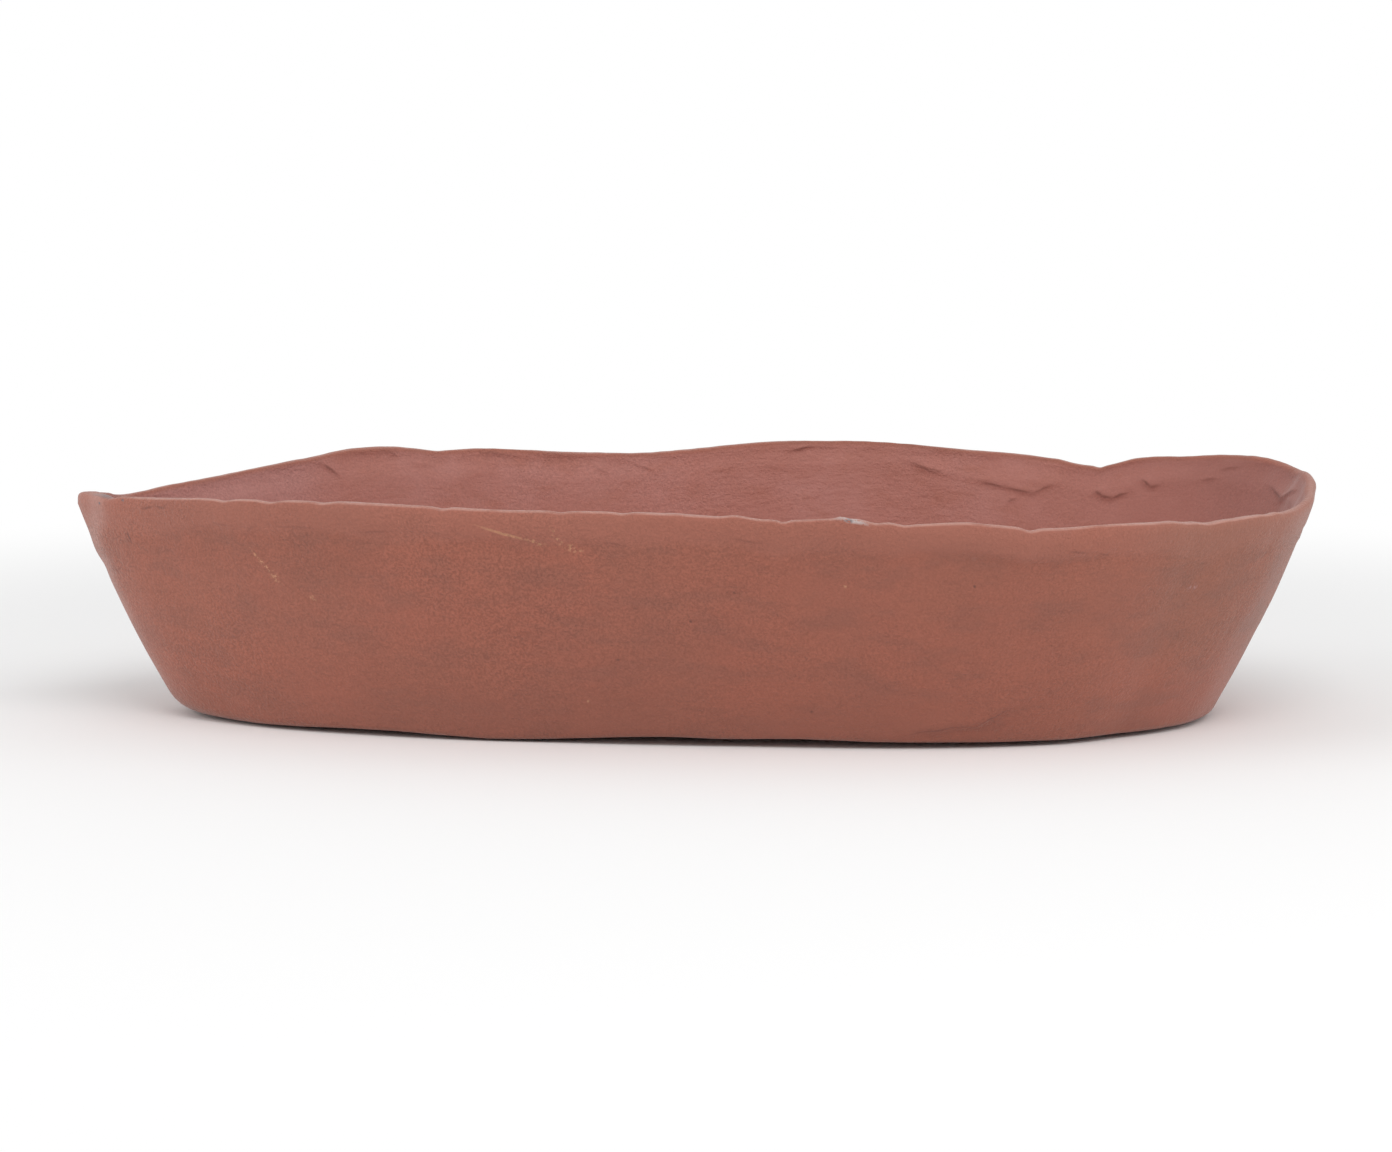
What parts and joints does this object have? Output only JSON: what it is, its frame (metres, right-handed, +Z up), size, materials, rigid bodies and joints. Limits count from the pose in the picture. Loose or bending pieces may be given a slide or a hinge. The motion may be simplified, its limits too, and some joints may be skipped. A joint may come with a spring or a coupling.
{
  "type": "bonsai pot",
  "caption": "Long, low, hand-built clay bonsai pot with a pinched bow, leaning walls, a thin wavy lip, low feet, and drain holes under clipped nets.",
  "frame": {"origin": "on the ground, under the middle of the lip's box", "axes": "+X along the pot towards its blunt end, +Y towards its back, +Z up"},
  "size_m": [0.4, 0.198, 0.0792],
  "materials": {
    "outer_clay": "unglazed, fine sandy grain",
    "inner_clay": "unglazed, smoothed by hand",
    "lip_clay": "unglazed, burnished lip",
    "foot_clay": "unglazed, rough",
    "net": "moulded net",
    "wire": "drawn wire"
  },
  "bodies": {
    "root": {"floor_slab": "foot_clay", "front_wall_slab": "outer_clay", "back_wall_slab": "inner_clay", "rim_coil": "lip_clay", "corner_coil": "inner_clay", "foot_front_left": "foot_clay", "foot_front_right": "foot_clay", "foot_back_left": "foot_clay", "foot_back_right": "foot_clay", "drain_screen_left": "net", "drain_screen_right": "net", "screen_clip_left": "wire", "screen_clip_right": "wire"}
  },
  "joints": []
}
